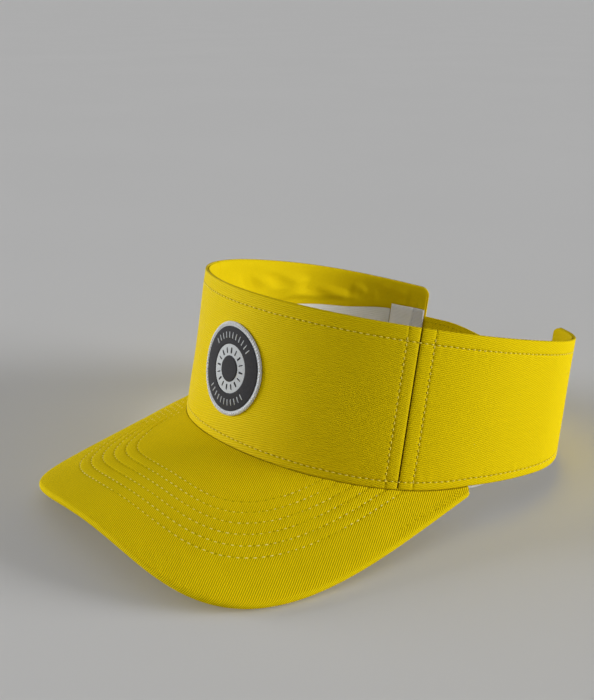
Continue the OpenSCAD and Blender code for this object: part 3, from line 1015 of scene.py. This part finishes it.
# Distance from a seam or edge where there is none, past all its marks
FAR = 9
EDGE_CURVE = 1.7
ROW_NEAR = np.array([-1.2, -0.75, -0.4, 0, 0.4, 0.75, 1.2])
ROW_NEAR_END = 1.35


def inset_levels(step):
    """Insets from the brim's edge, close together at the rolled edge and beside each row."""
    places = list(np.arange(EDGE_CURVE, ROW_LINES[-1] + 4, step * COARSE))
    for line in ROW_LINES:
        places = [p for p in places if abs(p - line) > ROW_NEAR_END] + list(line + ROW_NEAR)
    return np.unique(np.round(places, 4))


def row_lengths(q):
    """Length along each stitched row at bearing q, for the place of the needle holes."""
    table = []
    fine = np.linspace(-90, 90, 1801)
    for line in ROW_LINES:
        u, v = outline(fine, line)
        s = np.concatenate([[0], np.cumsum(np.hypot(np.diff(u), np.diff(v)))])
        table.append(np.interp(q, fine, s - s[len(s) // 2]))
    return table


def brim_relief(lengths, e, u, v):
    """Relief of a brim cover: channels of the rows, strips puffed between them, faint waviness."""
    stand = sum(needle_row(e - line, along, BRIM_PITCH, deep=0.13) for line, along in zip(ROW_LINES, lengths))
    strips = np.clip((e - ROW_INSET) / ROW_PITCH, 0, ROWS - 1)
    beyond = bump_at(np.maximum(0, ROW_INSET - e), 3) + bump_at(np.maximum(0, e - ROW_LINES[-1]), 3)
    stand += 0.16 * np.abs(np.sin(np.pi * strips)) + 0.08 * beyond
    return stand + 0.07 * waves(u, v, 16, 41) + 0.10 * waves(u, v, 50, 42)


def brim_cover(name, node, top):
    """One face of the brim: it runs from the root, over the sewn rows and round its half of the edge."""
    q = np.linspace(-90, 90, 301)
    levels = inset_levels(0.8)
    theta = np.linspace(np.pi / 2, 0, 7)[:-1]
    # the lip inside the edge, the quarter round of the edge, and the levels on the flat
    e_profile = np.concatenate([[0.45, 0.12], EDGE_CURVE - EDGE_CURVE * np.sin(theta), levels])
    w_profile = np.concatenate([
        [-BRIM_T / 2 - 0.02, -BRIM_T / 2 + 0.02], -EDGE_CURVE + EDGE_CURVE * np.cos(theta), 0 * levels])
    columns_e = e_profile[None, :] + 0 * q[:, None]
    u, v = outline(q[:, None] + 0 * columns_e, columns_e)
    root_u, root_v = (c[:, None] for c in root_uv(q / 90 * ROOT_AT, BRIM_IN))
    rim_u, rim_v = (c[:, None] for c in outline(q, 0))
    # columns whose root lies inside the last level run straight to it instead
    reach = np.hypot(root_u - rim_u, root_v - rim_v)
    need = np.hypot(u[:, -1:] - rim_u, v[:, -1:] - rim_v) + 6
    straight = smooth((need / reach - 0.80) / 0.35) * smooth((columns_e - 3) / 9)
    share = np.clip(e_profile / e_profile[-1], 0, 1)[None, :] * 0.93
    u = u * (1 - straight) + (rim_u * (1 - share) + root_u * share) * straight
    v = v * (1 - straight) + (rim_v * (1 - share) + root_v * share) * straight
    rest = np.linspace(0, 1, 40)[1:]
    u = np.concatenate([u, u[:, -1:] * (1 - rest) + root_u * rest], 1)
    v = np.concatenate([v, v[:, -1:] * (1 - rest) + root_v * rest], 1)
    w = np.concatenate([w_profile, 0 * rest])[None, :] + 0 * u
    e = inset_of(u, v)
    lengths = row_lengths(np.degrees(np.arctan2(u, v - V_ROOT)))
    number = np.arange(u.shape[1])[None, :]
    stand = smooth((number - 8) / 3) * brim_relief(lengths, e, u, v)
    thick = COVER_T * rolled(number + 0 * u, 1.0)
    thick[0], thick[-1], thick[:, -1] = 0, 0, 0
    # the inner face follows the outer one, square to it
    shrink = (EDGE_CURVE - COVER_T) / EDGE_CURVE
    round_part = w < -1e-6
    w_in = np.where(round_part, (w + EDGE_CURVE) * shrink - EDGE_CURVE, w - thick)
    e_shift = np.where(round_part, (EDGE_CURVE - np.minimum(e, EDGE_CURVE)) * (1 - shrink), 0)
    inward = np.stack([root_u - u, root_v - v], -1)
    inward /= np.maximum(np.linalg.norm(inward, axis=-1, keepdims=True), 1e-6)
    u_in, v_in = u + inward[..., 0] * e_shift, v + inward[..., 1] * e_shift
    if top:
        face, back = on_brim(u, v, w + stand), on_brim(u_in, v_in, w_in)
    else:
        face, back = on_brim(u, v, -BRIM_T - w - stand), on_brim(u_in, v_in, -BRIM_T - w_in)
    uv = np.stack([u, v + w * 1.5], -1)
    sew = nearest_row([(along, e - line) for line, along in zip(ROW_LINES, lengths)])
    # its distance from the band places a painted line of shade on the brim along the band
    gap = off_band(on_brim(u, v, 0 * w))
    obj = pillow(name, face, back, uv, sew, np.stack([0.12 + np.abs(gap), FAR + 0 * gap], -1))
    finish_piece(obj, BRIM_TWILL, "yellow_twill", node)


def inset_of(u, v):
    """Inset of the outline that passes through a place, by halving."""
    low, high = np.full(u.shape, -1.0), np.full(u.shape, 75.0)
    for _ in range(22):
        e = (low + high) / 2
        half, long = BRIM_HALF - e, BRIM_L - V_ROOT - e
        inside = (np.abs(u) / half) ** SQUARENESS + (np.maximum(v - V_ROOT, 0) / long) ** SQUARENESS < 1
        low, high = np.where(inside, e, low), np.where(inside, high, e)
    return (low + high) / 2


def brim_rows():
    """The rows through the brim, on both faces, as far as the band."""
    runs = []
    q = np.linspace(-90, 90, 2401)
    sunk, clearance = 0.12, 0.9
    for line, along in zip(ROW_LINES, row_lengths(q)):
        u, v = outline(q, line)
        top, under = on_brim(u, v, -sunk), on_brim(u, v, -BRIM_T + sunk)
        clear = off_band(top) > clearance
        normal = on_brim(u, v, 1) - on_brim(u, v, 0)
        runs.append((top[clear], normal[clear], along[clear]))
        runs.append((under[clear], -normal[clear], along[clear]))
    obj = stitch_mesh("brim_stitches", runs, BRIM_PITCH, BRIM_THREAD_W, seed=3)
    finish_piece(obj, BRIM_THREAD, "yellow_thread", "brim_stitching")


# ---- Stitching of the band ----


def band_stitches():
    stop = END_ROW + 0.8
    ends = (-short_of(RIGHT_END, stop), short_of(LEFT_END, stop))
    for name, height in (("top", lambda a: top_z(a) - TOP_ROW), ("bottom", lambda a: edge_z(a) + BOTTOM_ROW)):
        runs = [level_run(*ends, height, lambda a: STITCH_DEPTH)]
        sewn(name + "_edge_stitches", runs, 5, name + "_edge_stitching")
    for name, sign, end in SIDES:
        runs = []
        for side, row in ((-1, SEAM_ROW_FRONT), (1, SEAM_ROW_SIDE)):
            a = sign * (SEAM_AT + side * turn(SEAM_AT, row))
            runs.append(upright_run(a, edge_z(a) + 0.8, top_z(a) - 0.8, STITCH_DEPTH))
        sewn(name + "_seam_stitches", runs, 7, name + "_seam_stitching")
        a = sign * short_of(end, END_ROW)
        heights = [edge_z(a) + BOTTOM_ROW, top_z(a) - TOP_ROW]
        if name == "left":
            # the hook tape covers the middle of this row
            heights[1:1] = [float(strap_hi(a)) - STRAP_W + 1, float(strap_hi(a)) - 1]
        runs = [upright_run(a, *span, STITCH_DEPTH) for span in zip(heights[::2], heights[1::2])]
        sewn(name + "_end_stitches", runs, 9, name + "_end_stitching")


def binding_stitches():
    """The row that shows on each binding, which has no CAD node of its own."""
    depth = SWEAT_IN + SWEAT_T - 0.75
    for name, sign, end in SIDES:
        a = sign * short_of(end, 8)
        low = float(edge_z(a))
        points, normals, along = upright_run(a, low + 2, low + BINDING_H - 1, depth)
        sewn(name + "_binding_stitches", [(points, -normals, along)], 15)


# ---- Strap and tab ----

STRAP_START = 360 - RIGHT_END - turn(RIGHT_END, 1.3)
STRAP_ROW = 3
TAB_AT = LEFT_END - 0.5
OUTSIDE = -(2 * TAPE_T + PLAY + GAP)
STRAP_OUT = STIFF_IN - 0.1


def strap_depth(a):
    """Depth of the strap's outer face: inside the right panel, then out over the left one."""
    k = smooth((STRAP_START - a) / (STRAP_START - TAB_AT - 8))
    return STRAP_OUT * (1 - k) + (OUTSIDE - STRAP_T) * k


def strap_hi(a):
    """Height of the strap's top edge, which drops towards the left panel."""
    return STRAP_TOP - STRAP_DROP * smooth((200 - a) / 35)


def strap_piece(name, start, end, step=0.8):
    """A length of the strap, with rolled edges and a channel along each row of stitches."""
    length, s, a = columns_between(start, end, step)
    cut = corner_cut(a, TIP_AT) if end == TIP_AT else 0 * a
    z = upright(strap_hi(a) - STRAP_W + cut, strap_hi(a) - cut, step, STRAP_ROW, STRAP_ROW)
    aa = a[:, None] + 0 * z
    # the end sewn inside the panel is pressed thinner
    tucked = smooth((aa - STRAP_START - 0.3) / 1.5)
    half = STRAP_T / 2 * (1 - 0.46 * tucked)
    roll = rolled_all_round(s + 0 * z, length, z, half)
    middle = strap_depth(np.minimum(aa, STRAP_START)) + STRAP_T / 2 - 0.175 * tucked
    edge = np.minimum(z - z[:, :1], z[:, -1:] - z)
    stand = needle_row(edge - STRAP_ROW, arc(aa), BAND_PITCH, deep=0.16, hole=0.14) * (1 - tucked)
    stand = stand + 0.06 * waves(arc(aa), z, 12, 51)
    face, back = middle - half * roll - stand * roll, middle + half * roll
    sew = np.stack([arc(aa), np.abs(edge - STRAP_ROW) + FAR * tucked], -1)
    uv, no_edge = np.stack([arc(aa), z], -1), FAR + np.stack([z, z], -1)
    return pillow(name, at(aa, face, z), at(aa, back, z), uv, sew, no_edge)


def strap_rows(start, end):
    """The strap's two rows between two angles."""

    def depth(a):
        return strap_depth(a) + STITCH_DEPTH

    return [level_run(start, end, lambda a, o=offset: strap_hi(a) + o, depth)
            for offset in (-STRAP_ROW, STRAP_ROW - STRAP_W)]


def spot_at(a, d, z):
    """at() for one point, in the model's frame."""
    return Vector(place(at(np.array(a), d, np.array(z))))


def closure():
    """The strap, which runs from inside the right panel out over the left one, and the tab at its end, with
    their stitches.
    """
    split, tucked_end = TAB_AT + 2.6, STRAP_START + 4.6
    strap = strap_piece("back_strap_cloth", tucked_end, split)
    forward, behind = spot_at(STRAP_START - 2.0, 1.8, 26.0), spot_at(STRAP_START + 2.0, 1.8, 26.0)
    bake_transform(strap)
    finish_piece(strap, SIDE_TWILL, "yellow_twill", "back_strap", "strap_anchor", body=None)
    metres(arc(tucked_end) - arc(split), STRAP_W)
    tab = strap_piece("strap_tab_cloth", split - 0.02, TIP_AT)
    near, far = spot_at(TAB_AT + 1.6, -2.6, 20.0), spot_at(TAB_AT - 1.8, -2.6, 20.0)
    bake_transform(tab)
    finish_piece(tab, SIDE_TWILL, "yellow_twill", "strap_tab", body=None)
    metres(arc(split) - arc(TIP_AT), STRAP_W)
    sewn("strap_stitches", strap_rows(split + 1, STRAP_START - 3), 17, "strap_stitching", body="strap")
    tip = TIP_AT + turn(TIP_AT, 2.4)
    high = float(strap_hi(tip))
    across = upright_run(tip, high - STRAP_W + 4, high - 4, float(strap_depth(tip)) + STITCH_DEPTH)
    sewn("tab_stitches", strap_rows(tip + 0.5, TAB_AT - 2.6) + [across], 19, "tab_stitching", body="tab")


def tapes():
    """The hook half on the left panel and the loop half inside the tab."""
    pitch, margin = 1.15, 2.5

    def hooks(a, z, s, n):
        return 0.16 * np.sin(np.pi * arc(a) / pitch) ** 2 * np.sin(np.pi * z / pitch) ** 2 - 0.16

    def loops(a, z, s, n):
        return 0.1 * waves(arc(a), z, 1.6, 61) - 0.1

    edges = (lambda a, d: strap_hi(a) - STRAP_W + margin, lambda a: strap_hi(a) - margin)
    start, hook_end, loop_end = TIP_AT + 1.5, LEFT_END - 1.5, TAB_AT - 1.5
    hook = band_piece("hook_tape_pile", start, hook_end, -TAPE_T - GAP, -GAP, *edges, step=0.4, relief=hooks)
    band_cloth(hook, HOOKS, "hook_tape", "hook_tape", start, hook_end, STRAP_W - 2 * margin)
    loop = band_piece("loop_tape_pile", start, loop_end, OUTSIDE + GAP, OUTSIDE + GAP + TAPE_T, *edges,
                      step=0.6, back_relief=loops)
    band_cloth(loop, LOOPS, "loop_tape", "loop_tape", start, loop_end, STRAP_W - 2 * margin, body="tab")


# ---- Badge ----


def on_badge(x, y, height):
    """Point on the badge: x and y across it from its middle, height over the panel's face."""
    return at(angle_of(x), -height, BADGE_Z + y)


def badge_patch(name, k_in, k_out, height, thick, relief, rings, around=220):
    """An oval, or a ring, between two shares of the badge's size, closed and with rounded edges."""
    around = around
    theta = np.arange(around) / around * 2 * np.pi
    kk, tt = np.meshgrid(k_in + (k_out - k_in) * np.linspace(0, 1, rings), theta)
    x, y = BADGE_W / 2 * kk * np.sin(tt), BADGE_H / 2 * kk * np.cos(tt)
    reach = (k_out - kk) * BADGE_W / 2
    if k_in:
        reach = np.minimum(reach, (kk - k_in) * BADGE_W / 2)
    roll = rolled(reach, 0.5)
    top = on_badge(x, y, height + (thick + relief(x, y, kk, tt)) * roll)
    under = on_badge(x, y, height - 0.35 * roll)
    return closed_patch(name, top, under, np.stack([x, y], -1), not k_in)


def closed_patch(name, face, back, uv, solid):
    """Joins two polar grids at their rims."""
    n, m = face.shape[:2]
    front = np.arange(n * m).reshape(n, m)
    rear = n * m + np.arange(n * m).reshape(n, m)
    rear[:, -1] = front[:, -1]
    if not solid:
        rear[:, 0] = front[:, 0]
    points = np.concatenate([face.reshape(-1, 3), back.reshape(-1, 3)])
    uvs = np.tile(uv.reshape(-1, 2), (2, 1))
    f, r = np.vstack([front, front[:1]]), np.vstack([rear, rear[:1]])
    faces = np.concatenate([grid_faces(f), grid_faces(r, flip=True)])
    return make_clean(name, points, faces, uvs)


def make_clean(name, points, faces, uv):
    """make(), with points that no face uses or that coincide taken out."""
    obj = make(name, points, faces, uv)
    bm = bmesh.new()
    bm.from_mesh(obj.data)
    bmesh.ops.remove_doubles(bm, verts=bm.verts, dist=1e-7)
    loose = [v for v in bm.verts if not v.link_faces]
    bmesh.ops.delete(bm, geom=loose, context="VERTS")
    bmesh.ops.recalc_face_normals(bm, faces=bm.faces)
    bm.to_mesh(obj.data)
    bm.free()
    return obj


BASE_TO = 0.95
RING_FROM = 0.52
RING_TO = 0.90
BORDER_FROM = 0.905
SUN_TO = 0.28


def badge():
    """An embroidered badge with a plain sun, which stands in for the one in the photograph."""

    def weave(x, y, k, t):
        return 0.03 * np.sin(y * 2 * np.pi / 0.9)

    def satin_rise(x, y, k, t):
        return 0.12 * hump((k - RING_FROM) / 0.38) + 0.035 * np.sin(t * 150) + 0.03 * waves(x, y, 3, 71)

    def merrow(x, y, k, t):
        wide = np.clip((k - BORDER_FROM) / (1 - BORDER_FROM), 0, 1)
        return 0.55 * hump(wide, 0.8) + 0.17 * np.sin(t * 96 + 2.2 * wide) * hump(wide)

    def sun(x, y, k, t):
        return 0.10 + 0.03 * np.sin(x * 2 * np.pi / 0.8)

    for name, stuff, shape, material, slot in (
        ("base", "cloth", (0, BASE_TO, 0.5, 0.32, weave, 44), BADGE_PALE, "badge_pale"),
        ("ring", "satin", (RING_FROM, RING_TO, 0.8, 0.28, satin_rise, 22, 480), BADGE_DARK, "badge_dark"),
        ("border", "merrow", (BORDER_FROM, 1.0, 0.55, 0.15, merrow, 12, 900), MERROW, "badge_pale"),
    ):
        finish_piece(badge_patch(f"badge_{name}_{stuff}", *shape), material, slot, "badge_" + name)
    emblem = badge_patch("badge_sun_satin", 0, SUN_TO, 0.8, 0.3, sun, 18)
    finish_piece(emblem, BADGE_DARK, "badge_dark", "badge_emblem")
    badge_rays()


def badge_rays():
    """Satin rays round the sun and pale ticks on the ring, each a small raised bar of thread."""
    rays = [bar(i * 22.5, 0.33, 0.455, 0.6 if i % 2 else 0.95, 0.82, 0.3) for i in range(16)]
    ticks = [bar(middle + i * 9.5, 0.64, 0.79, 0.75, 1.1, 0.28) for i in range(-5, 6) for middle in (0, 180)]
    for name, bars, material, slot in (("badge_rays_satin", rays, BADGE_DARK, "badge_dark"),
                                       ("badge_ticks_satin", ticks, BADGE_PALE, "badge_pale")):
        size = len(bars[0][0])
        points, faces, uv = (np.concatenate(arrays) for arrays in zip(
            *((b[0], b[1] + size * i, b[2]) for i, b in enumerate(bars))))
        finish_piece(make(name, points, faces, uv), material, slot)


def bar(bearing, k_in, k_out, width, height, rise):
    """Points, faces and uv of a rounded bar across the badge along a bearing."""
    t = np.radians(bearing)
    kk, cc = np.meshgrid(np.linspace(k_in, k_out, 9), np.linspace(-1, 1, 7), indexing="ij")
    taper = 1 - 0.35 * (kk - k_in) / (k_out - k_in)
    x = BADGE_W / 2 * kk * np.sin(t) + cc * width / 2 * taper * np.cos(t)
    y = BADGE_H / 2 * kk * np.cos(t) - cc * width / 2 * taper * np.sin(t)
    end = np.minimum(kk - k_in, k_out - kk) / (k_out - k_in) * 4
    dome = np.sqrt(np.clip(1 - cc**2, 0, 1)) * np.sqrt(np.clip(end * (2 - np.minimum(end, 1)), 0, 1))
    top, under = on_badge(x, y, height + rise * dome), on_badge(x, y, height - 0.2 * np.ceil(dome))
    return pillow_arrays(top, under, np.stack([x, y], -1))


# ---- Studio ----

FLOOR_SIZE = 200
FLOOR_GREYS = (0.68, 0.71)
# Strength of the backdrop's light at the horizon, and above where it has faded
HORIZON = 0.40
ZENITH = 0.25
FADED_AT = 0.10
# Name, bearing, height and spread in degrees, and strength
SUNS = (
    ("key_right", 131, 8, 30, 3.75),
    ("key_left", -51, 6, 30, 3.2),
    ("fill", -8, 36, 40, 0.25),
)
# The photograph's viewpoint
CAMERA_BEARING = 48.475
CAMERA_HEIGHT = 20.369
CAMERA_DISTANCE = 0.4424
CAMERA_TARGET = (0.005549, -0.01839, 0.065576)
CAMERA_LENS = 49.91
SENSOR = 36


def toward(bearing, height):
    """Unit vector at a bearing from the front and a height over the horizon, in degrees."""
    b, h = np.radians(bearing), np.radians(height)
    return Vector((np.sin(b) * np.cos(h), -np.cos(b) * np.cos(h), np.sin(h)))


def aim(name, data, where, away):
    """An object that looks back along a direction."""
    obj = bpy.data.objects.new(name, data)
    obj.location = where
    obj.rotation_euler = (-away).to_track_quat("-Z", "Y").to_euler()
    bpy.context.scene.collection.objects.link(obj)
    return obj


def studio():
    bpy.ops.mesh.primitive_plane_add(size=FLOOR_SIZE)
    floor = bpy.context.object
    floor.name = "floor"
    n = Material("floor_paint", rough=1.0, specular=0.0)
    spot = n.position()
    colour = n.mix(n.noise(spot, 3.0), *(shade((1, 1, 1), grey) for grey in FLOOR_GREYS))
    floor.data.materials.append(n.finish(colour, n.bump(n.noise(spot, 400.0), 0.02)))
    world = bpy.data.worlds.new("studio")
    bpy.context.scene.world = world
    world.use_nodes = True
    sky = Nodes(world.node_tree)
    up = sky.part(sky.node("TexCoord", {}, "Generated"), 2)
    fade = sky.node("MapRange", {0: up, 1: 0.0, 2: FADED_AT, 3: HORIZON, 4: ZENITH})
    sky.put(sky.tree.nodes["Background"], {0: (1, 1, 1, 1), 1: fade})
    for name, bearing, height, spread_angle, power in SUNS:
        light = bpy.data.lights.new(name, "SUN")
        light.angle = np.radians(spread_angle)
        light.energy = power
        aim(name, light, toward(bearing, height), toward(bearing, height))
    bpy.context.scene.view_settings.view_transform = "Standard"


def camera():
    data = bpy.data.cameras.new("camera")
    data.lens = CAMERA_LENS
    data.sensor_width = SENSOR
    data.clip_start = 0.01
    away = toward(CAMERA_BEARING, CAMERA_HEIGHT)
    where = Vector(CAMERA_TARGET) + away * CAMERA_DISTANCE
    bpy.context.scene.camera = aim("camera", data, where, away)


def board():
    """The brim's board keeps its CAD shape."""
    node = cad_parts["brim_board"]
    node.data.materials.clear()
    node.data.materials.append(BOARD)


panels()
stiffeners()
linings()
sweatband()
bindings()
brim_cover("brim_top_twill", "brim_top_cover", True)
brim_cover("brim_bottom_twill", "brim_bottom_cover", False)
brim_rows()
band_stitches()
binding_stitches()
closure()
tapes()
badge()
board()
studio()
camera()
